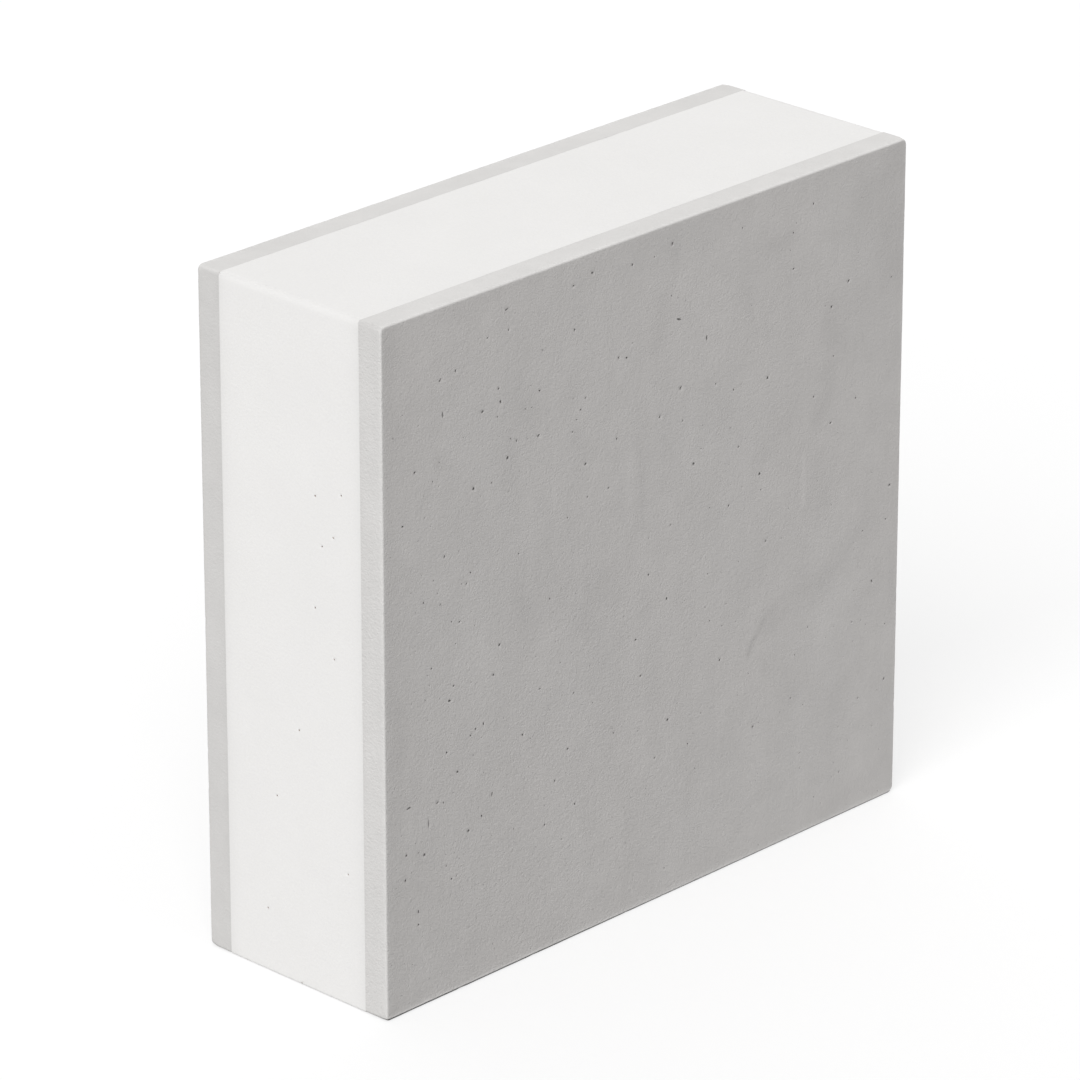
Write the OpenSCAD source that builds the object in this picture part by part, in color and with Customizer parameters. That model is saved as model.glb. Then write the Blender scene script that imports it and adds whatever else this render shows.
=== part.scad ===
// Structural insulated panel: a rigid foam core bonded flush between cement boards.
// The panel stands on its lower edge. +X runs along the front face, +Y from front to back, +Z up.
// The origin is the middle of the lower edge.

/* [Panel] */
// Width of the panel along its face
panel_w = 300; // [150:1:1200]
// Height of the panel as it stands
panel_h = 290; // [150:1:1200]

/* [Cement boards] */
// Thickness of each board
board_t = 12; // [6:0.5:25]
// Radius of a board's four corners, seen square on
board_corner_r = 1.25; // [1.25:0.25:12]
// Radius of the eased edge round a board's outer face
board_edge_r = 0.75; // [0.25:0.25:1]

/* [Foam core] */
// Thickness of the core between the boards
core_t = 76; // [30:1:250]
// Radius of the core's four corners, seen square on
core_corner_r = 0.75; // [0.5:0.25:12]

/* [Hidden] */
$fn = 64;

cement_grey = [0.67, 0.665, 0.66];
foam_white = [0.93, 0.925, 0.915];

// Rectangle with round corners, centred on the origin
module round_rectangle(w, h, r) {
    square([w - 2 * r, h], center = true);
    square([w, h - 2 * r], center = true);
    for (x = [-1, 1], y = [-1, 1])
        translate([x * (w / 2 - r), y * (h / 2 - r)])
            circle(r);
}

// Section of a board's rim, from a corner's centre out to the cut edge: square on the glued side,
// eased on the outer side
module rim_section() {
    square([board_corner_r, board_t - board_edge_r]);
    square([board_corner_r - board_edge_r, board_t]);
    translate([board_corner_r - board_edge_r, board_t - board_edge_r])
        intersection() {
            circle(board_edge_r);
            square(board_edge_r);
        }
}

// One straight stretch of rim along Y, centred, with its cut edge towards +X
module straight_rim(length) {
    rotate([90, 0, 0])
        linear_extrude(length, center = true)
            rim_section();
}

// A quarter turn of rim round a corner's centre, between the +X and the +Y stretch
module corner_rim() {
    rotate_extrude(angle = 90)
        rim_section();
}

// A board lying on its glued side, its rim carried round a plain field
module board() {
    field_w = panel_w - 2 * board_corner_r;
    field_h = panel_h - 2 * board_corner_r;
    linear_extrude(board_t)
        square([field_w, field_h], center = true);
    for (side = [0, 180]) {
        rotate(side)
            translate([field_w / 2, 0, 0])
                straight_rim(field_h);
        rotate(side + 90)
            translate([field_h / 2, 0, 0])
                straight_rim(field_w);
        rotate(side)
            translate([field_w / 2, field_h / 2, 0])
                corner_rim();
        rotate(side + 90)
            translate([field_h / 2, field_w / 2, 0])
                corner_rim();
    }
}

// The front board stood up and seated on the core's front face, its eased side towards -Y
module front_cement_board() {
    color(cement_grey)
        translate([0, -core_t / 2, panel_h / 2])
            rotate([90, 0, 0])
                board();
}

// The core, its cut edges flush with those of the boards
module foam_core() {
    color(foam_white)
        translate([0, 0, panel_h / 2])
            rotate([90, 0, 0])
                linear_extrude(core_t, center = true)
                    round_rectangle(panel_w, panel_h, core_corner_r);
}

// The back board, the same piece turned about on the core's back face
module back_cement_board() {
    color(cement_grey)
        translate([0, core_t / 2, panel_h / 2])
            rotate([90, 0, 180])
                board();
}

front_cement_board();
foam_core();
back_cement_board();
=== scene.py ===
"""Structural insulated panel: a white foam core flush between grey cement boards.

Each piece is a dense mesh in the place of its plain solid. The boards get a slightly uneven cast face, pits,
eased, nicked and worn edges and sandy cut sides, and the core gets a finely cut surface with a few specks.
Lengths are in metres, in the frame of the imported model: X along the front face, Y front to back, Z up.
"""

import math
from types import SimpleNamespace

import bpy
import numpy as np
from mathutils import Matrix, Vector


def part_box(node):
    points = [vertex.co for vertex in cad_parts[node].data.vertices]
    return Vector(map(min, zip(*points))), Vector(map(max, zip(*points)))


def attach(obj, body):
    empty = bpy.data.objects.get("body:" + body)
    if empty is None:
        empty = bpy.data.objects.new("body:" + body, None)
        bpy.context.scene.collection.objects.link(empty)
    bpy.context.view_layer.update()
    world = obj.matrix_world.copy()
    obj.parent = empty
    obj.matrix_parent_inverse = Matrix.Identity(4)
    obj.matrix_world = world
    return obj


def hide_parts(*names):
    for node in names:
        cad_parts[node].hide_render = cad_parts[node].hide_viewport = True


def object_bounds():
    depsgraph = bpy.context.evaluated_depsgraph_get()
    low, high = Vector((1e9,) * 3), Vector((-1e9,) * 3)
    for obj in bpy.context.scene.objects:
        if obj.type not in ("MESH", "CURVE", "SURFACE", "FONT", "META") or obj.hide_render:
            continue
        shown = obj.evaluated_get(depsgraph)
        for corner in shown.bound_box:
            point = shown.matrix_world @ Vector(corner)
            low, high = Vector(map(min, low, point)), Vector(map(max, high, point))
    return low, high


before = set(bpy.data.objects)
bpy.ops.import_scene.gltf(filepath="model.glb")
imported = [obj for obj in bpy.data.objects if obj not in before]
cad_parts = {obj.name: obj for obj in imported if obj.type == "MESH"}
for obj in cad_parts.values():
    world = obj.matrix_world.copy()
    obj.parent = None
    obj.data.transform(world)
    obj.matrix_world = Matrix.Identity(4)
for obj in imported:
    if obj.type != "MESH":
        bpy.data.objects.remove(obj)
CAD_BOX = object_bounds()

MM = 0.001
X, Y, Z = 0, 1, 2

# The photograph's camera

PHOTO_SIDE = 1080  # pixels
SENSOR = 36.0  # millimetres, across the picture
LENS = 227.4  # millimetres
AZIMUTH = math.radians(-46.106)
ELEVATION = math.radians(22.589)
DISTANCE = 2.7425
ASIDE = 8.27 * MM  # how far the panel's centre lies to the right of the line of sight
BELOW = -0.23 * MM  # and below it
CLIP = (0.1, 50.0)  # how near and how far the camera sees

# The light, in shares of the level at which a colour renders as it is written

WORLD_LEVEL = 0.56
KEY_LEVEL = 0.70
KEY_FROM = (-0.72, -0.37, 0.63)
KEY_SPREAD = math.radians(50)
FILL_LEVEL = 0.34
FILL_FROM = (0.66, 0.62, 0.12)
FILL_SPREAD = math.radians(90)
FLOOR_SEEN = 0.97  # the floor's white as the camera sees it
FLOOR_GLOW = 0.55  # the share of plain white in that, which lightens the shadow
FLOOR_LIT = 0.42  # the grey that the floor throws back on the panel
FLOOR_HALF = 6.0
FLOOR_DROP = 0.05 * MM

# Radii that the solids have too

BOARD_CORNER_R = 1.25 * MM
BOARD_EDGE_R = 0.75 * MM
CORE_CORNER_R = 0.75 * MM

# How finely the pieces are meshed

FACE_CELL = 1.2 * MM
CORE_CELL = 1.35 * MM
EDGE_LINES = (0.0, 0.25 * MM, 0.5 * MM, 1.0 * MM, 1.7 * MM, 2.6 * MM)  # grid lines in from a field's edge
EDGE_RINGS = 4  # rings round a board's eased edge
CAP_STRIP = (0.975, 0.995)  # where a board's flat map holds its glued side
MAP_MARGIN = 1 * MM
CORNER_STEPS = 6  # steps round a corner of the core
SHARP_ANGLE = math.radians(42)

# What sets the boards apart: the seeds of their relief, their pits and the pits' outlines; the radii of the
# worn corners, left and then right as seen from outside, each low and then high; the grain's strength on the
# ends and on the top; the shares by which the ends are darker and the top has painted shade; and the painted
# shade on the corners between them, which damps their highlight

FRONT_LOOK = SimpleNamespace(
    seed=100,
    pit_seed=11,
    waver_seed=110,
    worn=((1.75 * MM, 2.25 * MM), (3.0 * MM, 2.75 * MM)),
    rim_grain=(0.72, 0.36),
    rim_tone_and_painted_shade=(0.0, 0.025),
    corner_painted_shade=0.11,
)
BACK_LOOK = SimpleNamespace(
    seed=200,
    pit_seed=21,
    waver_seed=210,
    worn=((2.5 * MM, 2.5 * MM), (2.5 * MM, 2.5 * MM)),
    rim_grain=(0.38, 0.27),
    rim_tone_and_painted_shade=(0.06, 0.04),
    corner_painted_shade=0.0,
)
CORE_SEED, SPECK_SEED = 31, 33

# Wear

WEAR_DEPTH = (0.3 * MM, 4.0 * MM)  # where the boards' worn corners start to fade, and where they end
CORE_TOP_R = 2.0 * MM  # the core's upper corners, rubbed softer than the solid's
CHIPS = 30  # in each board's eased edge
CHIP_LENGTH = (0.6 * MM, 1.8 * MM)
CHIP_DEPTH = (0.06 * MM, 0.28 * MM)
CHIP_TURN, CHIP_TURN_REACH = (0.3, 0.7), 0.3  # where in the edge's turn a chip lies, and its reach there

# Unevenness, in layers: the size of its lumps, its depth, and how far the lumps are drawn out

CAST_WAVES = (
    (45 * MM, 0.10 * MM, 1),
    (14 * MM, 0.06 * MM, 1),
    (5 * MM, 0.04 * MM, 2.5),
    (3.2 * MM, 0.03 * MM, 1),
)
SIDE_WAVES = (
    (9 * MM, 0.06 * MM, 1),
    (3 * MM, 0.02 * MM, 1),
)
CORE_WAVES = (
    (30 * MM, 0.06 * MM, 1),
    (5 * MM, 0.04 * MM, 1),
)
EDGE_WAVES, EDGE_WAVES_REACH = ((8 * MM, 0.08 * MM, 1),), 0.35  # and their reach in the eased edge's turn

# Pits of the front face that stand out, where the photograph shows them, in its pixels

LARGE_PITS = [
    (575, 330), (456, 371), (501, 402), (483, 412), (539, 436), (508, 458), (586, 464), (474, 489),
    (445, 557), (500, 645), (494, 675), (450, 701), (484, 724), (523, 735), (458, 772), (438, 803),
    (469, 831), (425, 855), (407, 856), (406, 881), (419, 912), (593, 273), (633, 265), (673, 244),
    (681, 388), (660, 417), (694, 464), (760, 474), (729, 506), (768, 378), (649, 575), (667, 599),
    (720, 660), (641, 676), (668, 720), (753, 727), (849, 281), (832, 307), (890, 485), (872, 581),
    (884, 679),
]
MIDDLE_PITS = [
    (499, 389), (498, 417), (517, 441), (415, 473), (492, 483), (540, 391), (586, 398), (574, 286),
    (403, 527), (471, 573), (467, 584), (424, 603), (441, 605), (460, 622), (550, 599), (432, 669),
    (454, 686), (540, 689), (574, 693), (476, 729), (471, 736), (568, 749), (444, 803), (575, 804),
    (482, 816), (545, 825), (452, 879), (419, 925), (739, 447), (609, 488), (671, 525), (814, 397),
    (831, 423), (858, 698), (619, 358), (627, 358), (734, 390), (683, 421), (710, 508), (886, 519),
    (636, 640), (688, 744), (794, 233), (655, 758), (447, 753), (555, 781), (814, 204),
]
FAINT_PITS = [
    (482, 837), (419, 853), (412, 873), (462, 866), (447, 866), (562, 839), (529, 767), (434, 770),
    (511, 439), (526, 409), (532, 408), (581, 410), (577, 420), (573, 432), (588, 497), (568, 518),
    (519, 554), (433, 482), (434, 581), (452, 622), (456, 644), (428, 676), (593, 703), (614, 733),
    (638, 731), (708, 574), (710, 621), (722, 626), (738, 695), (808, 627), (791, 698), (803, 705),
    (795, 655), (800, 753), (766, 541), (761, 490), (863, 531), (885, 624), (852, 622), (839, 772),
    (814, 797), (509, 330), (488, 338), (743, 228), (794, 269), (892, 277), (834, 356), (686, 301),
    (672, 296), (856, 398), (716, 384), (655, 257), (617, 439), (514, 829),
]

# Dark specks in the cut end of the foam, likewise

FOAM_SPECKS = [
    (315, 495), (341, 496), (333, 538), (322, 546), (315, 607), (334, 661), (299, 729), (277, 795),
    (348, 875), (268, 909), (302, 982),
]

# Trowel marks on the front face, likewise: the line of a groove, its depth and its half width

TROWEL_MARKS = [
    ([(749, 655), (752, 645), (764, 622), (785, 601), (815, 587)], 0.07 * MM, 1.4 * MM),
    ([(637, 478), (637, 505), (638, 535)], 0.05 * MM, 1.6 * MM),
    ([(804, 455), (804, 480), (804, 508)], -0.06 * MM, 1.2 * MM),
]

# Scratches and drawn-out dents in it, likewise: the two ends and half the width

SCRATCHES = [
    ((429, 818), (429, 829), 0.28 * MM),
    ((407, 810), (412, 807), 0.42 * MM),
    ((439, 383), (442, 378), 0.38 * MM),
    ((443, 412), (443, 419), 0.36 * MM),
    ((493, 791), (492, 797), 0.36 * MM),
    ((505, 311), (509, 308), 0.36 * MM),
    ((677, 319), (682, 320), 0.40 * MM),
    ((707, 335), (707, 341), 0.42 * MM),
]

# Soft stains of it, likewise: the line of a stain, how much darker it is, as a share, and half its width

STAINS = [
    ([(896, 160), (880, 190), (895, 260)], 0.055, 13 * MM),
    ([(858, 205), (852, 225)], 0.035, 9 * MM),
    ([(770, 249), (793, 236)], 0.055, 3.5 * MM),
    ([(832, 315), (836, 340)], 0.050, 6 * MM),
    ([(830, 365), (829, 395), (819, 415)], 0.045, 5 * MM),
    ([(672, 244), (680, 258)], 0.035, 5 * MM),
    ([(662, 300), (660, 345)], 0.030, 4 * MM),
    ([(873, 405), (879, 425)], 0.035, 7 * MM),
    ([(770, 448), (784, 425)], 0.030, 5 * MM),
    ([(864, 290), (866, 300)], 0.030, 5 * MM),
    ([(757, 300), (758, 325)], -0.030, 1.2 * MM),
    ([(640, 440), (642, 490), (639, 528)], 0.035, 3.2 * MM),
    ([(627, 465), (632, 515)], -0.020, 4 * MM),
    ([(707, 495), (708, 512)], 0.025, 8 * MM),
    ([(820, 462), (822, 500)], 0.030, 5 * MM),
    ([(804, 457), (804, 506)], -0.080, 1.2 * MM),
    ([(826, 490), (827, 508)], 0.040, 1.2 * MM),
    ([(772, 622), (786, 612)], 0.035, 4 * MM),
    ([(749, 655), (752, 645), (756, 637)], 0.130, 1.2 * MM),
    ([(760, 631), (764, 620)], 0.085, 1.2 * MM),
    ([(764, 625), (785, 603), (815, 586), (835, 568), (850, 540), (872, 517)], 0.045, 6.5 * MM),
    ([(845, 585), (825, 630)], -0.030, 9 * MM),
    ([(787, 680), (786, 694)], 0.030, 6 * MM),
    ([(762, 658), (764, 668)], 0.035, 2.5 * MM),
    ([(836, 690), (832, 725)], 0.025, 5 * MM),
    ([(898, 755), (897, 778)], 0.050, 4 * MM),
    ([(858, 720), (855, 760)], -0.025, 9 * MM),
    ([(521, 385), (527, 410)], 0.030, 5 * MM),
    ([(556, 425), (575, 385)], 0.020, 4 * MM),
    ([(584, 445), (586, 452)], 0.030, 5 * MM),
    ([(505, 462), (503, 476)], 0.025, 5 * MM),
    ([(521, 600), (525, 622)], 0.030, 5 * MM),
    ([(580, 625), (605, 580)], 0.030, 5 * MM),
    ([(620, 590), (616, 604)], 0.025, 4 * MM),
    ([(646, 590), (645, 612)], 0.025, 3 * MM),
    ([(400, 715), (402, 755)], 0.030, 6 * MM),
    ([(387, 640), (387, 1000)], -0.012, 6 * MM),
    ([(440, 457), (433, 482), (418, 513)], 0.030, 1.2 * MM),
    ([(437, 455), (437, 466)], 0.045, 1.5 * MM),
    ([(578, 370), (568, 388)], 0.030, 3 * MM),
]

# Radii of pits, and their depths in radii

LARGE_PIT_R = (0.51 * MM, 0.65 * MM)
MIDDLE_PIT_R = (0.41 * MM, 0.53 * MM)
FAINT_PIT_R = (0.32 * MM, 0.44 * MM)
SMALL_PIT_R = (0.18 * MM, 0.33 * MM)
SPECK_R = (0.34 * MM, 0.42 * MM)
DEEP = (1.6, 2.4)
MODERATE = (0.8, 1.6)
SLIGHT = (0.55, 1.25)
SHALLOW = (0.35, 0.95)
SCRATCH_DEEP = 1.4

# How pits are shaped and strewn

PIT_STRETCH = (1.0, 1.45)  # how far they are drawn out
PIT_LEAN, PIT_LEAN_STRAYS = math.radians(45), 0.6  # which way most of them lean, and how far that strays
PIT_WAVER = 0.12  # how far a pit's outline strays
PIT_CELL = 0.75 * FACE_CELL  # the narrowest cell that takes a pit
PIT_RINGS = (  # from a pit's rim to its floor: shares of its size, its depth and its darkness, which is painted shade in the cement and the brown of a speck in the foam
    (1.2, 0.0, 0.0),
    (1.0, 0.05, 0.3),
    (0.9, 0.5, 1.0),
    (0.55, 0.92, 1.0),
    (0.0, 1.0, 1.0),
)
SMALL_PITS = 380  # on each board
CROWD_LEAST, CROWD_FROM = 0.25, 1.6  # how thin they get on the front one, and how far up, in half heights

# The grain's strength on the front face, what its top, its left and its lower left add, and that on the back

GRAIN_LEAST, GRAIN_TOP, GRAIN_LEFT, GRAIN_LOW_LEFT = 0.60, 0.10, 0.22, 0.35
GRAIN_LEFT_FULL = 0.5  # how far left of the middle the left's is full, in half widths
BACK_GRAIN = 0.85

# How a board's face changes towards its left, right, lower and upper edge: how pale it is at the very edge,
# as a share of the cut side, and the share by which it is darker in from there, each with its reach. Along
# the foot the paleness is partly wear and partly painted light

EDGE_PALE, EDGE_PALE_REACH = (0.64, 0.25, 1.00, 0.25), (1.35 * MM, 0.6 * MM, 0.95 * MM, 0.6 * MM)
EDGE_SHADE, EDGE_SHADE_REACH = (0.090, 0.012, 0.0, 0.020), 8 * MM
FOOT_PAINTED_LIGHT, FOOT_PAINTED_LIGHT_REACH = 0.03, 45 * MM  # and the share of painted light by which it is lighter towards its foot
FOOT_PAINTED_SHADOW, FOOT_PAINTED_SHADOW_REACH = 0.58, 0.2 * MM  # the painted shadow line along the foot, at the left
RIDGE_PAINTED_LIGHT, RIDGE_INSET, RIDGE_REACH = 0.11, 0.6 * MM, 0.4 * MM  # and the line of painted light over it

# Other shares of painted shade and painted light by which the colour is darker or paler, and their reach

ARRIS_PAINTED_HIGHLIGHT, ARRIS_PAINTED_HIGHLIGHT_REACH = (0.008, 0.03), 1.0 * MM  # a painted highlight along the arris, on the ends and on the top
UNDER_PAINTED_SHADOW, UNDER_PAINTED_SHADOW_REACH = 0.80, 2.0 * MM  # a painted shadow round a board's lower edge
UNDER_TURN = (0.50, 0.31)  # where in the edge's turn that is full, at the right and at the left
UNDER_LEFT = (-40 * MM, 110 * MM)  # how far left of the middle the change between them starts and ends
FIELD_TURN = 0.6  # where in the edge's turn the face's colour has given way to the side's
DARKEST_RIM = 0.90
# Painted shade near the joints between the boards and the foam
BOARD_JOINT_PAINTED_SHADE, BOARD_JOINT_REACH = 0.03, 1.8 * MM
FOAM_JOINT_PAINTED_SHADE, FOAM_JOINT_REACH = 0.06, 3.0 * MM
# Painted shade on the foam's top, and round its corners to damp their highlights
FOAM_TOP_PAINTED_SHADE = 0.068
FOAM_CORNER_PAINTED_SHADE = 0.085

# Colours, and the gloss of the surfaces: their roughness, from and to, and their specular level

CAST_WARM, CAST_COOL = (0.549, 0.531, 0.519, 1), (0.538, 0.525, 0.515, 1)
SIDE_GREY = (0.672, 0.661, 0.649, 1)
PIT_PAINTED_SHADE = 0.36  # what painted shade leaves of the grey in a pit
FOAM_WHITE = (0.837, 0.828, 0.817, 1)
SPECK_BROWN = (0.30, 0.22, 0.15, 1)
CEMENT_ROUGH, CEMENT_SPECULAR = (0.86, 0.96), 0.3
FOAM_ROUGH, FOAM_SPECULAR = (0.88, 0.98), 0.25

# Noise in the materials: the size of its lumps, its detail and its roughness

WARMTH = (60 * MM, 1.0, 0.5)
CLOUDS = (34 * MM, 3.0, 0.55)
PATCHES = (9 * MM, 3.0, 0.55)
STREAKS, STREAK_STRETCH = (6 * MM, 2.0, 0.5), (1, 1, 9)
LUMPY = (1.7 * MM, 2.0, 0.5)
GRAIN = (0.8 * MM, 2.0, 0.55)
SAND = (0.8 * MM, 2.0, 0.6)
FOAM_CLOUDS = (30 * MM, 2.0, 0.5)
FOAM_CELLS = (1.2 * MM, 2.0, 0.6)

# The shares by which it changes the colour either way, and the heights of its bumps

CLOUD_SHARE, PATCH_SHARE, STREAK_SHARE, GRAIN_SHARE = 0.06, 0.045, 0.02, 0.03
FOAM_CLOUD_SHARE, FOAM_CELL_SHARE = 0.02, 0.03
LUMPY_BUMP, GRAIN_BUMP, SAND_BUMP = 0.19 * MM, 0.28 * MM, 0.14 * MM
FOAM_CELL_BUMP = 0.10 * MM

# Sockets of the node that mixes colours, which share their names with its other ones

MIX_SHARE, MIX_FIRST, MIX_SECOND = 0, 6, 7
MIX_RESULT = 2


# The camera, and where its pixels fall on the panel

def camera_axes():
    """The camera's right, up and back directions."""
    right = np.array([math.cos(AZIMUTH), math.sin(AZIMUTH), 0.0])
    level = math.cos(ELEVATION)
    back = np.array([math.sin(AZIMUTH) * level, -math.cos(AZIMUTH) * level, math.sin(ELEVATION)])
    return right, np.cross(back, right), back


RIGHT, UP, BACK = camera_axes()
CENTRE = np.array((CAD_BOX[0] + CAD_BOX[1]) / 2)
EYE = CENTRE + BACK * DISTANCE - RIGHT * ASIDE + UP * BELOW


def make_camera():
    """The camera at the photograph's place, with its lens."""
    data = bpy.data.cameras.new("camera")
    data.sensor_width = SENSOR
    data.lens = LENS
    data.clip_start, data.clip_end = CLIP
    camera = bpy.data.objects.new("camera", data)
    bpy.context.scene.collection.objects.link(camera)
    place = np.eye(4)
    place[:3] = np.stack([RIGHT, UP, BACK, EYE], axis=1)
    camera.matrix_world = Matrix(place.tolist())
    bpy.context.scene.camera = camera


def pixels_on_plane(pixels, axis, level):
    """Points where the lines of sight through photograph pixels meet the plane at that level of an axis."""
    focal = LENS / SENSOR * PHOTO_SIDE
    offset = (np.array(pixels, float) - PHOTO_SIDE / 2) / focal
    sight = offset[:, :1] * RIGHT - offset[:, 1:] * UP - BACK
    reach = (level - EYE[axis]) / sight[:, axis]
    return EYE + sight * reach[:, None]


# Random fields

def lumps(u, v, size, seed):
    """A smooth random field from -1 to 1 over u and v, with lumps of about that size."""
    side = 512
    values = np.random.default_rng(seed).uniform(-1, 1, (side, side))
    x, y = np.asarray(u) / size + side / 2, np.asarray(v) / size + side / 2
    i, j = np.floor(x).astype(int), np.floor(y).astype(int)
    fx, fy = x - i, y - j
    fx, fy = fx * fx * (3 - 2 * fx), fy * fy * (3 - 2 * fy)
    i, j = i % side, j % side
    k, m = (i + 1) % side, (j + 1) % side
    low = values[i, j] * (1 - fx) + values[k, j] * fx
    high = values[i, m] * (1 - fx) + values[k, m] * fx
    return low * (1 - fy) + high * fy


def waves(u, v, layers, seed):
    """How deep layers of lumps go. A layer is its lumps' size, its depth, and their stretch along v."""
    deep = 0.0
    for number, (size, depth, stretch) in enumerate(layers):
        deep = deep + (lumps(u, v / stretch, size, seed + number) + 1) / 2 * depth
    return deep


def smooth_step(value, low, high):
    """0 below low, 1 above high, and an easy curve between them."""
    t = np.clip((value - low) / (high - low), 0, 1)
    return t * t * (3 - 2 * t)


# Mesh making

def between(grid, row, column):
    """A grid's values at rows and columns that lie between its own."""
    i = np.clip(np.floor(row).astype(int), 0, grid.shape[0] - 2)
    j = np.clip(np.floor(column).astype(int), 0, grid.shape[1] - 2)
    wide = row.shape + (1,) * (grid.ndim - 2)
    u, v = (row - i).reshape(wide), (column - j).reshape(wide)
    near = grid[i, j] * (1 - u) + grid[i + 1, j] * u
    far = grid[i, j + 1] * (1 - u) + grid[i + 1, j + 1] * u
    return near * (1 - v) + far * v


class Surface:
    """Vertices, faces and per-vertex marks that grow, grid by grid, into one mesh. Marks named u and v are
    the places of the vertices on a flat map."""

    def __init__(self, *marks):
        self.points = []
        self.marks = {name: [] for name in marks}
        self.count = 0
        self.faces = []
        self.caps = []

    def add(self, points, **marks):
        """Adds an array of points and returns their numbers in its shape."""
        shape = points.shape[:-1]
        number = int(np.prod(shape))
        self.points.append(points.reshape(-1, 3))
        for name, values in self.marks.items():
            values.append(np.broadcast_to(marks.get(name, 0.0), shape).ravel())
        self.count += number
        return np.arange(self.count - number, self.count).reshape(shape)

    def quads(self, ids, skip=None, around=False):
        """Faces of a grid of numbers, which may close on itself from its last row to its first."""
        rows = np.vstack([ids, ids[:1]]) if around else ids
        corners = np.stack([rows[:-1, :-1], rows[1:, :-1], rows[1:, 1:], rows[:-1, 1:]], axis=-1)
        if skip is not None:
            corners = corners[~skip]
        self.faces += corners.reshape(-1, 4).tolist()

    def cap(self, loop):
        """Closes a loop that runs round a convex outline, in strips from one half to the other."""
        half = len(loop) // 2
        pairs = np.stack([loop[:half], loop[half:][::-1]], axis=1)
        before = len(self.faces)
        self.quads(pairs)
        self.caps += range(before, len(self.faces))

    def piece(self, name, place, material):
        """The finished object, without the points that no face uses. place turns points into the frame."""
        points = place(np.concatenate(self.points))
        used = np.zeros(len(points), bool)
        used[[number for face in self.faces for number in face]] = True
        renumber = np.cumsum(used) - 1
        mesh = bpy.data.meshes.new(name)
        mesh.from_pydata(points[used].tolist(), [], [renumber[face].tolist() for face in self.faces])
        marks = {mark: np.concatenate(values)[used].astype(np.float32) for mark, values in self.marks.items()}
        if "u" in marks:
            self.lay_out(mesh, marks.pop("u"), marks.pop("v"))
        for mark, values in marks.items():
            layer = mesh.attributes.new(mark, "FLOAT", "POINT")
            layer.data.foreach_set("value", values)
        mesh.shade_smooth()
        mesh.set_sharp_from_angle(angle=SHARP_ANGLE)
        mesh.materials.append(material)
        piece = bpy.data.objects.new(name, mesh)
        bpy.context.scene.collection.objects.link(piece)
        return piece

    def lay_out(self, mesh, u, v):
        """Gives the mesh its flat map, with the glued caps squeezed into a strip along its top."""
        corners = np.empty(len(mesh.loops), np.int32)
        mesh.loops.foreach_get("vertex_index", corners)
        on_cap = np.zeros(len(self.faces), bool)
        on_cap[self.caps] = True
        on_cap = np.repeat(on_cap, [len(face) for face in self.faces])
        low, high = CAP_STRIP
        spots = np.stack([u[corners], np.where(on_cap, low + (high - low) * v[corners], v[corners])], axis=1)
        mesh.uv_layers.new(name="OFBake").data.foreach_set("uv", spots.ravel())


def sink_pits(surface, ids, points, normals, marks, pits, rng):
    """Sinks pits into a grid of points with marks, each in the place of a block of cells. A pit is its row
    and column in the grid, half its length, half its width, its depth and its lean from the way the rows go.
    Returns the mask of the cells that are gone."""
    gone = np.zeros((ids.shape[0] - 1, ids.shape[1] - 1), bool)
    for row, column, length, width, depth, lean in pits:
        middle = np.array([row, column])
        i, j = np.minimum(middle.astype(int), np.array(gone.shape) - 1)
        corner = points[i, j]
        cell = np.linalg.norm([points[i + 1, j] - corner, points[i, j + 1] - corner], axis=1)
        cos, sin = math.cos(lean), math.sin(lean)
        reach = np.hypot([length * cos, length * sin], [width * sin, width * cos])
        reach *= PIT_RINGS[0][0] * (1 + PIT_WAVER) / cell
        first, last = np.floor(middle - reach).astype(int), np.ceil(middle + reach).astype(int)

        # A block has two cells each way at least, the second on the side that the pit lies nearer to
        short, nearer_first = last - first < 2, middle - first < 0.5
        first, last = first - (short & nearer_first), last + (short & ~nearer_first)
        if cell.min() < PIT_CELL or first.min() < 0 or (last > gone.shape).any():
            continue
        block = gone[first[0]:last[0], first[1]:last[1]]
        if block.any():
            continue
        block[:] = True
        across, up = np.arange(first[0], last[0]), np.arange(first[1], last[1])
        along, beside = np.ones_like(across), np.ones_like(up)
        rows = np.concatenate([across, last[0] * beside, across[::-1] + 1, first[0] * beside])
        columns = np.concatenate([first[1] * along, up, last[1] * along, up[::-1] + 1])
        normal = normals[rows, columns].mean(0)
        angle = np.arctan2((columns - column) * cell[1], (rows - row) * cell[0])
        waver = 1 + PIT_WAVER * np.sin(3 * angle + rng.uniform(0, 2 * math.pi))
        outline = waver / np.hypot(np.cos(angle - lean) / length, np.sin(angle - lean) / width)
        # Deeper pits are darker: painted shade in the cement, and more of a speck's brown in the foam
        darkest = min(depth / width / DEEP[0], 1.0)

        # Closes the loop round the block: a rim, two steps of wall and a rounded floor
        loop = ids[rows, columns]
        for share, sunk, dark in PIT_RINGS:
            ring_row = row + share * outline * np.cos(angle) / cell[0]
            ring_column = column + share * outline * np.sin(angle) / cell[1]
            if share == 0:
                ring_row, ring_column = ring_row[:1], ring_column[:1]
            around = {name: between(values, ring_row, ring_column) for name, values in marks.items()}
            ring = between(points, ring_row, ring_column) - normal * depth * sunk
            inner = surface.add(ring, pit=dark * darkest, **around)
            if share > 0:
                surface.quads(np.stack([loop, inner], axis=1), around=True)
                loop = inner
        floor = int(inner[0])
        surface.faces += [[int(a), int(b), floor] for a, b in zip(loop, np.roll(loop, -1))]
    return gone


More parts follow.
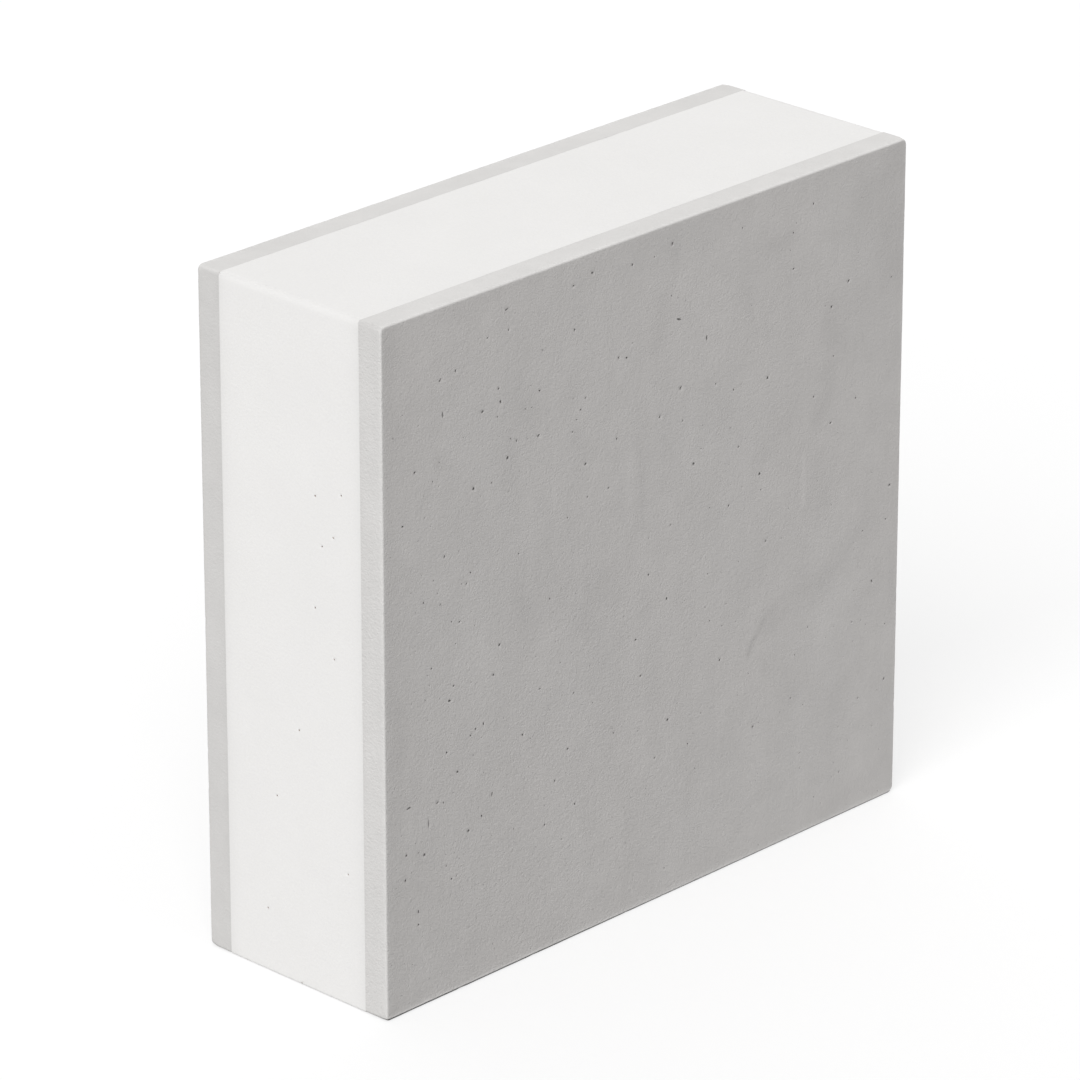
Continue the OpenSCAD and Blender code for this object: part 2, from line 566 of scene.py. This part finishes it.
def sized_pits(places, radii, deep, rng):
    """Pits at those places, each with a size, a shape and a depth of its own."""
    pits = []
    for a, b in places:
        radius, stretch = rng.uniform(*radii), rng.uniform(*PIT_STRETCH)
        lean = PIT_LEAN + rng.normal(0, PIT_LEAN_STRAYS)
        pits.append((a, b, radius * stretch, radius / stretch, radius * rng.uniform(*deep), lean))
    return pits


def scratched(lines):
    """Pits drawn out from end to end of lines with a width."""
    pits = []
    for (start, end), width in lines:
        middle, run = (start + end) / 2, end - start
        pits.append((*middle, np.hypot(*run) / 2, width, width * SCRATCH_DEEP, math.atan2(run[1], run[0])))
    return pits


def strewn(count, half_a, half_b, rng, crowd=None):
    """Places strewn over a face, more of them where crowd, a function of a and b from 0 to 1, is high."""
    places = []
    while len(places) < count:
        a, b = rng.uniform(-half_a, half_a), rng.uniform(-half_b, half_b)
        if crowd is None or rng.uniform() < crowd(a, b):
            places.append((a, b))
    return places


# The cement boards, made flat: a across, b up, and the third axis out of the cast face

def grid_lines(half):
    """Grid lines across a board's flat field, closer together towards its edges."""
    field = half - BOARD_EDGE_R
    near_edge = field - np.array(EDGE_LINES)
    inner = near_edge[-1]
    cells = round(2 * inner / FACE_CELL)
    return np.concatenate([-near_edge, np.linspace(-inner, inner, cells + 1)[1:-1], near_edge[::-1]])


def round_corners(a, b, half_a, half_b):
    """Moves the square corners of a grid on to arcs."""
    p = np.abs(a) - (half_a - BOARD_CORNER_R)
    q = np.abs(b) - (half_b - BOARD_CORNER_R)
    inside = (p > 0) & (q > 0)
    p, q = np.where(inside, p, 1.0), np.where(inside, q, 1.0)
    turn = np.where(p >= q, math.pi / 4 * q / p, math.pi / 2 - math.pi / 4 * p / q)
    reach = np.maximum(p, q)
    round_a = np.sign(a) * (half_a - BOARD_CORNER_R + reach * np.cos(turn))
    round_b = np.sign(b) * (half_b - BOARD_CORNER_R + reach * np.sin(turn))
    return np.where(inside, round_a, a), np.where(inside, round_b, b)


def wear_corners(a, b, half_a, half_b, worn, share):
    """Draws points in from the corners to the worn corners' larger arcs, all the way where share is 1."""
    radius = np.array(worn)[(a > 0).astype(int), (b > 0).astype(int)]
    p, q = np.abs(a) - (half_a - radius), np.abs(b) - (half_b - radius)
    inside = (p > 0) & (q > 0)
    p, q = np.where(inside, p, 1.0), np.where(inside, q, 1.0)
    far = np.hypot(p, q)
    more, less = np.maximum(p, q) / far, np.minimum(p, q) / far

    # How far the unworn outline lies that way, on one of its straight sides or on its own small arc
    leg = radius - BOARD_CORNER_R
    to_side = radius / more
    across = leg * (more + less)
    to_arc = across + np.sqrt(np.maximum(across ** 2 - 2 * leg ** 2 + BOARD_CORNER_R ** 2, 0))
    outline = np.where(to_side * less > leg, to_arc, to_side)
    scale = 1 - share * (1 - radius / outline)
    worn_a = np.sign(a) * (half_a - radius + p * scale)
    worn_b = np.sign(b) * (half_b - radius + q * scale)
    return np.where(inside, worn_a, a), np.where(inside, worn_b, b)


def near_line(a, b, line, width):
    """1 on a line of points, and less away from it, by its half width."""
    away = np.full(np.shape(a), np.inf)
    for start, end in zip(line[:-1], line[1:]):
        run = end - start
        t = ((a - start[0]) * run[0] + (b - start[1]) * run[1]) / (run @ run)
        t = np.clip(t, 0, 1)
        away = np.minimum(away, np.hypot(a - start[0] - t * run[0], b - start[1] - t * run[1]))
    return np.exp(-((away / width) ** 2))


def cast_relief(a, b, marks, seed):
    """How far the cast face lies below its highest level: slow waves, small lumps and trowel marks."""
    deep = waves(a, b, CAST_WAVES, seed)
    for line, depth, width in marks:
        deep += max(-depth, 0) + depth * near_line(a, b, line, width)
    return deep


def edge_wear(along, turn, length, seed):
    """How far each point of the eased edge is worn away: a slow waver and small chips."""
    rng = np.random.default_rng(seed)
    halfway = np.exp(-((turn - 0.5) / EDGE_WAVES_REACH) ** 2)
    worn = waves(along, 0 * along, EDGE_WAVES, seed) * halfway
    for _ in range(CHIPS):
        place, width = rng.uniform(0, length), rng.uniform(*CHIP_LENGTH)
        depth, middle = rng.uniform(*CHIP_DEPTH), rng.uniform(*CHIP_TURN)
        away = np.abs(along - place)
        away = np.minimum(away, length - away)
        worn = worn + depth * np.exp(-((away / width) ** 2) - ((turn - middle) / CHIP_TURN_REACH) ** 2)
    return worn


def face_shading(a, b, plain_a, insets, stains):
    """The share by which a board's face is darker, by its stains and edges and by the painted shadow and
    painted light along its foot. insets are from its left, right, lower and upper edge.
    """
    shade = (EDGE_SHADE * np.exp(-insets / EDGE_SHADE_REACH)).max(-1)
    foot = insets[..., 2]
    shade -= FOOT_PAINTED_LIGHT * np.exp(-foot / FOOT_PAINTED_LIGHT_REACH)
    foot_painted_light_and_shadow = FOOT_PAINTED_SHADOW * np.exp(-((foot / FOOT_PAINTED_SHADOW_REACH) ** 2))
    foot_painted_light_and_shadow -= RIDGE_PAINTED_LIGHT * np.exp(-(((foot - RIDGE_INSET) / RIDGE_REACH) ** 2))
    shade += foot_painted_light_and_shadow * smooth_step(-plain_a, *UNDER_LEFT)
    for line, share, width in stains:
        shade += share * near_line(a, b, line, width)
    return shade


def rim_shading(edge_a, out_a, out_b, turn, down, thick, look):
    """The share by which a board's rim is darker, with painted shade at the joints, on top and at the corners
    and a painted highlight along the arris, and the painted shadow that is added to it round the lower edge.
    """
    on_end, on_top, on_foot = np.abs(out_a), np.maximum(out_b, 0), np.maximum(-out_b, 0)
    below_edge = np.maximum(down - BOARD_EDGE_R, 0)
    near_joint = np.exp(-(thick - down) / BOARD_JOINT_REACH)
    shade = (look.rim_tone_and_painted_shade[0] + BOARD_JOINT_PAINTED_SHADE * near_joint) * on_end + look.rim_tone_and_painted_shade[1] * on_top
    shade = shade + look.corner_painted_shade * 2 * np.abs(out_a * out_b)
    arris = ARRIS_PAINTED_HIGHLIGHT[0] * on_end + ARRIS_PAINTED_HIGHLIGHT[1] * on_top
    shade = shade - arris * np.exp(-below_edge / ARRIS_PAINTED_HIGHLIGHT_REACH)
    right, left = UNDER_TURN
    full_turn = right + (left - right) * smooth_step(-edge_a, *UNDER_LEFT)
    lower_edge_painted_shadow = UNDER_PAINTED_SHADOW * np.exp(-below_edge / UNDER_PAINTED_SHADOW_REACH) * on_foot
    return shade, lower_edge_painted_shadow * smooth_step(turn, 0.0, full_turn[:, None])


def make_board(name, node, place, material, look, grain, pits, marks=(), stains=()):
    """One cement board. look is what sets it apart, grain gives the strength of its grain at a and b,
    pits are as sized_pits gives them, and marks and stains are its trowel marks and its stains in a and b."""
    low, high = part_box(node)
    size = high - low
    half_a, half_b, thick = size[X] / 2, size[Z] / 2, size[Y]
    surface = Surface("cut", "pit", "shade", "rough", "u", "v")
    lines_a, lines_b = grid_lines(half_a), grid_lines(half_b)
    square_a, square_b = np.meshgrid(lines_a, lines_b, indexing="ij")
    plain_a, plain_b = round_corners(square_a, square_b, half_a, half_b)
    a, b = wear_corners(plain_a, plain_b, half_a, half_b, look.worn, 1.0)
    points = np.stack([a, b, -cast_relief(a, b, marks, look.seed)], axis=-1)
    insets = np.stack([half_a + plain_a, half_a - plain_a, half_b + plain_b, half_b - plain_b], axis=-1)
    insets = np.maximum(insets - BOARD_EDGE_R, 0)

    # The flat map: the face, with the rim folded out round it
    flap = thick + MAP_MARGIN
    map_side = 2 * (half_a + flap)

    def on_map(p, q):
        return {"u": (p + half_a + flap) / map_side, "v": (q + half_b + flap) / map_side}

    # The face's darkening holds its stains and its painted shade and painted light
    field_marks = {
        "cut": (EDGE_PALE * np.exp(-insets / EDGE_PALE_REACH)).max(-1),
        "shade": face_shading(a, b, plain_a, insets, stains),
        "rough": grain(a, b),
        **on_map(plain_a, plain_b),
    }
    ids = surface.add(points, **field_marks)
    normals = np.broadcast_to([0.0, 0.0, 1.0], points.shape)
    rows, columns = np.arange(len(lines_a)), np.arange(len(lines_b))
    in_cells = [(np.interp(p, lines_a, rows), np.interp(q, lines_b, columns), *rest) for p, q, *rest in pits]
    rng = np.random.default_rng(look.waver_seed)
    gone = sink_pits(surface, ids, points, normals, field_marks, in_cells, rng)
    surface.quads(ids, skip=gone)

    # The rim: clockwise round the field, then over the eased edge and down the cut side
    edge = np.concatenate([ids[0, :-1], ids[:-1, -1], ids[-1, :0:-1], ids[:0:-1, 0]])
    edge_a, edge_b = plain_a.ravel()[edge], plain_b.ravel()[edge]
    p = np.maximum(np.abs(edge_a) - (half_a - BOARD_CORNER_R), 0) * np.sign(edge_a)
    q = np.maximum(np.abs(edge_b) - (half_b - BOARD_CORNER_R), 0) * np.sign(edge_b)
    out_a, out_b = (p / np.hypot(p, q))[:, None], (q / np.hypot(p, q))[:, None]
    turn = np.arange(1, EDGE_RINGS + 1) / EDGE_RINGS
    side_rings = round((thick - BOARD_EDGE_R) / FACE_CELL)
    side = np.arange(1, side_rings + 1) / side_rings
    reach = np.concatenate([np.sin(turn * math.pi / 2), np.ones(side_rings)]) * BOARD_EDGE_R
    down = np.concatenate([
        BOARD_EDGE_R * (1 - np.cos(turn * math.pi / 2)),
        BOARD_EDGE_R + side * (thick - BOARD_EDGE_R),
    ])
    turn = np.concatenate([turn, np.ones(side_rings)])
    fade = 1 - smooth_step(down, *WEAR_DEPTH)
    rim_a, rim_b = edge_a[:, None] + out_a * reach, edge_b[:, None] + out_b * reach
    rim_a, rim_b = wear_corners(rim_a, rim_b, half_a, half_b, look.worn, fade)
    base = np.stack([rim_a, rim_b, np.broadcast_to(-down, rim_a.shape)], axis=-1)
    lean = turn * math.pi / 2
    up = np.broadcast_to(np.cos(lean), rim_a.shape)
    facing = np.stack([out_a * np.sin(lean), out_b * np.sin(lean), up], axis=-1)
    step = np.hypot(np.diff(edge_a, append=edge_a[0]), np.diff(edge_b, append=edge_b[0]))
    along = np.cumsum(step)[:, None]
    side_seed = look.seed + len(CAST_WAVES)
    side_deep = waves(along, down, SIDE_WAVES, side_seed)
    share = smooth_step(turn, 0.0, 1.0)
    sunk = -points.reshape(-1, 3)[edge, 2:] * (1 - share) + side_deep * share
    wear = edge_wear(along, turn, along[-1], side_seed + len(SIDE_WAVES))
    sunk = sunk + wear * (down < 2 * BOARD_EDGE_R)
    # The rim's painted shade, painted highlight and painted shadow round its lower edge
    shade, lower_edge_painted_shadow = rim_shading(edge_a, out_a, out_b, turn, down, thick, look)
    from_field = smooth_step(turn, 0.0, FIELD_TURN)
    edge_cut, edge_shade = [field_marks[mark].ravel()[edge][:, None] for mark in ("cut", "shade")]
    rim = surface.add(
        base - facing * sunk[..., None],
        cut=edge_cut + (1 - edge_cut) * from_field,
        shade=np.minimum(edge_shade + (shade - edge_shade) * from_field + lower_edge_painted_shadow, DARKEST_RIM),
        rough=look.rim_grain[0] * np.abs(out_a) + look.rim_grain[1] * np.abs(out_b),
        **on_map(edge_a[:, None] + out_a * (reach + down), edge_b[:, None] + out_b * (reach + down)),
    )
    surface.quads(np.hstack([edge[:, None], rim]), around=True)
    surface.cap(rim[:, -1])

    piece = surface.piece(name, place, material)
    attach(piece, "root")
    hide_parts(node)


def front_board(material):
    """The board that the photograph shows, with its pits and trowel marks where they are there."""
    node = "front_cement_board"
    low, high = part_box(node)
    half_a, half_b = (high[X] - low[X]) / 2, (high[Z] - low[Z]) / 2
    rng = np.random.default_rng(FRONT_LOOK.pit_seed)

    def on_face(pixels):
        points = pixels_on_plane(pixels, Y, low[Y])
        return points[:, [X, Z]] - [0.0, low[Z] + half_b]

    def crowd(a, b):
        leftward, low_down = smooth_step(-a, -half_a, half_a), smooth_step(-b, -CROWD_FROM * half_b, half_b)
        return CROWD_LEAST + (1 - CROWD_LEAST) * leftward * low_down

    def grain(a, b):
        low_down = smooth_step(-b, -half_b, half_b)
        leftward = smooth_step(-a, -half_a, GRAIN_LEFT_FULL * half_a)
        added = (GRAIN_LEFT + GRAIN_LOW_LEFT * low_down) * leftward
        return GRAIN_LEAST + GRAIN_TOP * (1 - low_down) + added

    def place(points):
        return np.stack([points[:, 0], low[Y] - points[:, 2], points[:, 1] + low[Z] + half_b], axis=1)

    pits = scratched([(on_face([start, end]), width) for start, end, width in SCRATCHES])
    pits += sized_pits(on_face(LARGE_PITS), LARGE_PIT_R, DEEP, rng)
    pits += sized_pits(on_face(MIDDLE_PITS), MIDDLE_PIT_R, MODERATE, rng)
    pits += sized_pits(on_face(FAINT_PITS), FAINT_PIT_R, SLIGHT, rng)
    pits += sized_pits(strewn(SMALL_PITS, half_a, half_b, rng, crowd), SMALL_PIT_R, SHALLOW, rng)
    marks = [(on_face(line), depth, width) for line, depth, width in TROWEL_MARKS]
    stains = [(on_face(line), share, width) for line, share, width in STAINS]
    make_board("front_board", node, place, material, FRONT_LOOK, grain, pits, marks, stains)


def back_board(material):
    """The board on the far side, of the same make, with pits of its own."""
    node = "back_cement_board"
    low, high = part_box(node)
    half_a, half_b = (high[X] - low[X]) / 2, (high[Z] - low[Z]) / 2
    rng = np.random.default_rng(BACK_LOOK.pit_seed)

    def grain(a, b):
        return np.full(np.shape(a), BACK_GRAIN)

    def place(points):
        return np.stack([-points[:, 0], high[Y] + points[:, 2], points[:, 1] + low[Z] + half_b], axis=1)

    pits = sized_pits(strewn(len(LARGE_PITS), half_a, half_b, rng), LARGE_PIT_R, DEEP, rng)
    pits += sized_pits(strewn(len(MIDDLE_PITS), half_a, half_b, rng), MIDDLE_PIT_R, MODERATE, rng)
    pits += sized_pits(strewn(len(FAINT_PITS), half_a, half_b, rng), FAINT_PIT_R, SLIGHT, rng)
    pits += sized_pits(strewn(SMALL_PITS, half_a, half_b, rng), SMALL_PIT_R, SHALLOW, rng)
    make_board("back_board", node, place, material, BACK_LOOK, grain, pits)


# The foam core: a band round its outline, closed where the boards cover it

def core_outline(half_x, half_z):
    """Points and outward directions round the core, clockwise as seen from the front, from its foot."""
    columns, rows = round(half_x / CORE_CELL) * 2, round(2 * half_z / CORE_CELL)
    middle = columns // 2
    foot = np.linspace(CORE_CORNER_R - half_x, half_x - CORE_CORNER_R, columns + 1)
    crown = np.linspace(CORE_TOP_R - half_x, half_x - CORE_TOP_R, columns + 1)
    up = np.linspace(CORE_CORNER_R - half_z, half_z - CORE_TOP_R, rows + 1)
    quarter = np.arange(1, CORNER_STEPS) / CORNER_STEPS * math.pi / 2
    sides = [
        [(x, -half_z, 0, -1) for x in foot[middle::-1]],
        [(-half_x, z, -1, 0) for z in up],
        [(x, half_z, 0, 1) for x in crown],
        [(half_x, z, 1, 0) for z in up[::-1]],
        [(x, -half_z, 0, -1) for x in foot[:middle:-1]],
    ]
    corners = ((-1, -1, 3), (-1, 1, 2), (1, 1, 1), (1, -1, 0))  # the signs of x and z, and the quarter turn
    outline = list(sides[0])
    for (sign_x, sign_z, first), side in zip(corners, sides[1:]):
        radius = CORE_TOP_R if sign_z > 0 else CORE_CORNER_R
        for angle in quarter[::-1]:
            heading = first * math.pi / 2 + angle - math.pi / 2
            out_x, out_z = math.cos(heading), math.sin(heading)
            x = sign_x * (half_x - radius) + radius * out_x
            z = sign_z * (half_z - radius) + radius * out_z
            outline.append((x, z, out_x, out_z))
        outline += side
    return np.array(outline)


def make_core(material):
    """The foam core, with specks in its cut ends and a slightly uneven cut."""
    node = "foam_core"
    low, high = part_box(node)
    half_x, half_z, half_y = (high[X] - low[X]) / 2, (high[Z] - low[Z]) / 2, (high[Y] - low[Y]) / 2
    outline = core_outline(half_x, half_z)
    step = np.linalg.norm(np.diff(outline[:, :2], axis=0, append=outline[:1, :2]), axis=1)
    along = np.cumsum(step)[:, None]
    y = np.linspace(-half_y, half_y, round(2 * half_y / CORE_CELL) + 1)
    deep = waves(along, y, CORE_WAVES, CORE_SEED)
    shape = deep.shape
    out_x, out_z = outline[:, 2:3], outline[:, 3:4]
    out = np.stack([outline[:, 2], np.zeros(len(outline)), outline[:, 3]], axis=1)[:, None, :]
    normals = np.broadcast_to(out, shape + (3,))
    points = np.stack([
        np.broadcast_to(outline[:, :1], shape),
        np.broadcast_to(y, shape),
        np.broadcast_to(outline[:, 1:2], shape),
    ], axis=-1) - normals * deep[..., None]
    # Painted shade on the ends near the boards, on the top, and round the corners
    shade = FOAM_JOINT_PAINTED_SHADE * np.exp(-(half_y - np.abs(y)) / FOAM_JOINT_REACH) * np.abs(out_x)
    shade = shade + FOAM_TOP_PAINTED_SHADE * np.maximum(out_z, 0) + FOAM_CORNER_PAINTED_SHADE * 2 * np.abs(out_x * out_z)
    surface = Surface("pit", "shade")
    ids = surface.add(points, shade=shade)

    # Specks where the photograph shows them in one end, and strewn over the other
    rng = np.random.default_rng(SPECK_SEED)
    near_end = pixels_on_plane(FOAM_SPECKS, X, low[X]) - [0.0, 0.0, low[Z] + half_z]
    far_end = [(half_x, speck_y, z) for speck_y, z in strewn(len(FOAM_SPECKS), half_y, half_z, rng)]
    places = []
    for x, speck_y, z in [*near_end, *far_end]:
        away = np.hypot(outline[:, 0] - x, outline[:, 1] - z)
        places.append((int(np.argmin(away)), np.interp(speck_y, y, np.arange(len(y)))))
    pits = sized_pits(places, SPECK_R, DEEP, rng)
    gone = sink_pits(surface, ids, points, normals, {"shade": shade}, pits, rng)
    wrap = np.zeros((1, gone.shape[1]), bool)
    surface.quads(ids, skip=np.vstack([gone, wrap]), around=True)
    surface.cap(ids[:, -1])
    surface.cap(ids[::-1, 0])

    def place(points):
        return points + [0.0, 0.0, low[Z] + half_z]

    piece = surface.piece("foam_core_cut", place, material)
    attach(piece, "root")
    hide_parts(node)


# Materials

class Nodes:
    """A material's node tree, built one node at a time."""

    def __init__(self, name):
        self.material = bpy.data.materials.new(name)
        self.material.use_nodes = True
        self.tree = self.material.node_tree
        self.shader = self.tree.nodes["Principled BSDF"]
        self.place = self.add("ShaderNodeTexCoord").outputs["Object"]

    def add(self, kind, inputs=None, **settings):
        """A node with its settings, and its inputs set or linked by name or number."""
        node = self.tree.nodes.new(kind)
        for key, value in settings.items():
            setattr(node, key, value)
        for key, value in (inputs or {}).items():
            self.put(node.inputs[key], value)
        return node

    def put(self, socket, value):
        """Links a socket to another node's output, or sets its own value."""
        if isinstance(value, bpy.types.NodeSocket):
            self.tree.links.new(value, socket)
        else:
            socket.default_value = value

    def mark(self, name):
        """A mark of the mesh's vertices."""
        return self.add("ShaderNodeAttribute", attribute_name=name).outputs["Fac"]

    def noise(self, size, detail, rough, stretch=None):
        """Noise from 0 to 1 with lumps of about that size, in metres, stretched along the axes if asked."""
        place = self.place
        if stretch is not None:
            scale = tuple(1 / s for s in stretch)
            place = self.add("ShaderNodeMapping", {"Vector": place, "Scale": scale}).outputs[0]
        inputs = {"Vector": place, "Scale": 1 / size, "Detail": detail, "Roughness": rough}
        return self.add("ShaderNodeTexNoise", inputs).outputs["Fac"]

    def maths(self, operation, first, second):
        """One sum."""
        return self.add("ShaderNodeMath", {0: first, 1: second}, operation=operation).outputs[0]

    def product(self, *factors):
        """Several factors multiplied together."""
        total = factors[0]
        for factor in factors[1:]:
            total = self.maths("MULTIPLY", total, factor)
        return total

    def spread(self, field, low, high):
        """A field from 0 to 1 as a value from low to high."""
        inputs = {"Value": field, "To Min": low, "To Max": high}
        return self.add("ShaderNodeMapRange", inputs).outputs[0]

    def varied(self, field, share):
        """A field from 0 to 1 as a factor that is up to that share less or more than 1."""
        return self.spread(field, 1 - share, 1 + share)

    def mix(self, share, first, second):
        """A colour between two others."""
        node = self.add("ShaderNodeMix", data_type="RGBA")
        self.put(node.inputs[MIX_SHARE], share)
        self.put(node.inputs[MIX_FIRST], first)
        self.put(node.inputs[MIX_SECOND], second)
        return node.outputs[MIX_RESULT]

    def scaled(self, colour, factor):
        """A colour times a number."""
        node = self.add("ShaderNodeVectorMath", {0: colour, "Scale": factor}, operation="SCALE")
        return node.outputs[0]

    def bump(self, height, distance, after=None):
        """A bump of that height in metres, on top of another."""
        node = self.add("ShaderNodeBump", {"Height": height, "Distance": distance, "Strength": 1.0})
        if after is not None:
            self.put(node.inputs["Normal"], after)
        return node.outputs[0]


def cement_material():
    """Cast cement: grey with soft clouds and streaks, darkened with painted shade in its pits, pale and sandy
    on its cut sides, and darker or paler by its marks' stains, painted shade and painted light.
    """
    nodes = Nodes("cement")
    cut, pit, shade, rough = [nodes.mark(name) for name in ("cut", "pit", "shade", "rough")]
    patches, grain = nodes.noise(*PATCHES), nodes.noise(*GRAIN)
    cast = nodes.mix(nodes.noise(*WARMTH), CAST_WARM, CAST_COOL)
    # The tone takes in the painted shade of the pits and the marks' stains, painted shade and painted light
    tone = nodes.product(
        nodes.varied(nodes.noise(*CLOUDS), CLOUD_SHARE),
        nodes.varied(patches, PATCH_SHARE),
        nodes.varied(nodes.noise(*STREAKS, STREAK_STRETCH), STREAK_SHARE),
        nodes.varied(grain, GRAIN_SHARE),
        nodes.spread(pit, 1.0, PIT_PAINTED_SHADE),
        nodes.maths("SUBTRACT", 1.0, shade),
    )
    nodes.put(nodes.shader.inputs["Base Color"], nodes.scaled(nodes.mix(cut, cast, SIDE_GREY), tone))
    nodes.put(nodes.shader.inputs["Roughness"], nodes.spread(patches, *CEMENT_ROUGH))
    nodes.shader.inputs["Specular IOR Level"].default_value = CEMENT_SPECULAR
    lumpy = nodes.bump(nodes.product(nodes.noise(*LUMPY), rough), LUMPY_BUMP)
    grains = nodes.bump(nodes.product(grain, rough), GRAIN_BUMP, lumpy)
    sandy = nodes.bump(nodes.product(nodes.noise(*SAND), cut, rough), SAND_BUMP, grains)
    nodes.put(nodes.shader.inputs["Normal"], sandy)
    return nodes.material


def foam_material():
    """White closed-cell foam: almost even, with fine cells, brown in its specks, and darker with painted
    shade near the boards, on its top and round its corners.
    """
    nodes = Nodes("foam")
    pit, shade = nodes.mark("pit"), nodes.mark("shade")
    cells = nodes.noise(*FOAM_CELLS)
    # The tone takes in the painted shade of the marks
    tone = nodes.product(
        nodes.varied(nodes.noise(*FOAM_CLOUDS), FOAM_CLOUD_SHARE),
        nodes.varied(cells, FOAM_CELL_SHARE),
        nodes.maths("SUBTRACT", 1.0, shade),
    )
    nodes.put(nodes.shader.inputs["Base Color"], nodes.scaled(nodes.mix(pit, FOAM_WHITE, SPECK_BROWN), tone))
    nodes.put(nodes.shader.inputs["Roughness"], nodes.spread(cells, *FOAM_ROUGH))
    nodes.shader.inputs["Specular IOR Level"].default_value = FOAM_SPECULAR
    nodes.put(nodes.shader.inputs["Normal"], nodes.bump(cells, FOAM_CELL_BUMP))
    return nodes.material


# Floor, world and lamps

def seen_directly(tree):
    """1 for rays from the camera and through gloss or glass, and 0 for rays that carry light."""
    path = tree.nodes.new("ShaderNodeLightPath")
    total = path.outputs["Is Camera Ray"]
    for name in ("Is Glossy Ray", "Is Transmission Ray"):
        add = tree.nodes.new("ShaderNodeMath")
        add.operation = "MAXIMUM"
        tree.links.new(total, add.inputs[0])
        tree.links.new(path.outputs[name], add.inputs[1])
        total = add.outputs[0]
    return total


def grey(tree, kind, level):
    """A shader of a plain grey."""
    shader = tree.nodes.new(kind)
    shader.inputs["Color"].default_value = (level, level, level, 1)
    return shader.outputs[0]


def mixed(tree, first, second):
    """A shader mixed of two, and the socket of the second one's share."""
    mix = tree.nodes.new("ShaderNodeMixShader")
    tree.links.new(first, mix.inputs[1])
    tree.links.new(second, mix.inputs[2])
    return mix.outputs[0], mix.inputs[0]


def make_floor():
    """A wide white floor that keeps the panel's shadow and throws back a modest light."""
    mesh = bpy.data.meshes.new("floor")
    corners = [(x * FLOOR_HALF, y * FLOOR_HALF, -FLOOR_DROP) for x, y in ((-1, -1), (1, -1), (1, 1), (-1, 1))]
    mesh.from_pydata(corners, [], [(0, 1, 2, 3)])
    material = bpy.data.materials.new("floor")
    material.use_nodes = True
    tree = material.node_tree
    tree.nodes.clear()
    white, glow = grey(tree, "ShaderNodeBsdfDiffuse", FLOOR_SEEN), grey(tree, "ShaderNodeEmission", 1.0)
    seen, share = mixed(tree, white, glow)
    share.default_value = FLOOR_GLOW
    surface, share = mixed(tree, grey(tree, "ShaderNodeBsdfDiffuse", FLOOR_LIT), seen)
    tree.links.new(seen_directly(tree), share)
    output = tree.nodes.new("ShaderNodeOutputMaterial")
    tree.links.new(surface, output.inputs["Surface"])
    mesh.materials.append(material)
    floor = bpy.data.objects.new("floor", mesh)
    bpy.context.scene.collection.objects.link(floor)


def make_world():
    """An even pale sky, white where the camera sees it."""
    world = bpy.data.worlds.new("world")
    world.use_nodes = True
    tree = world.node_tree
    tree.nodes.clear()
    light, white = [grey(tree, "ShaderNodeBackground", level) for level in (WORLD_LEVEL, 1.0)]
    sky, share = mixed(tree, light, white)
    tree.links.new(seen_directly(tree), share)
    output = tree.nodes.new("ShaderNodeOutputWorld")
    tree.links.new(sky, output.inputs["Surface"])
    bpy.context.scene.world = world


def make_lamp(name, level, toward, spread):
    """A wide, far-off lamp that lights a face square to it to that level."""
    data = bpy.data.lights.new(name, "SUN")
    data.energy = level * math.pi
    data.angle = spread
    lamp = bpy.data.objects.new(name, data)
    lamp.rotation_mode = "QUATERNION"
    lamp.rotation_quaternion = Vector(toward).to_track_quat("Z", "Y")
    bpy.context.scene.collection.objects.link(lamp)


make_camera()
make_world()
make_floor()
make_lamp("key", KEY_LEVEL, KEY_FROM, KEY_SPREAD)
make_lamp("fill", FILL_LEVEL, FILL_FROM, FILL_SPREAD)
cement = cement_material()
front_board(cement)
back_board(cement)
make_core(foam_material())
bpy.context.scene.view_settings.view_transform = "Standard"
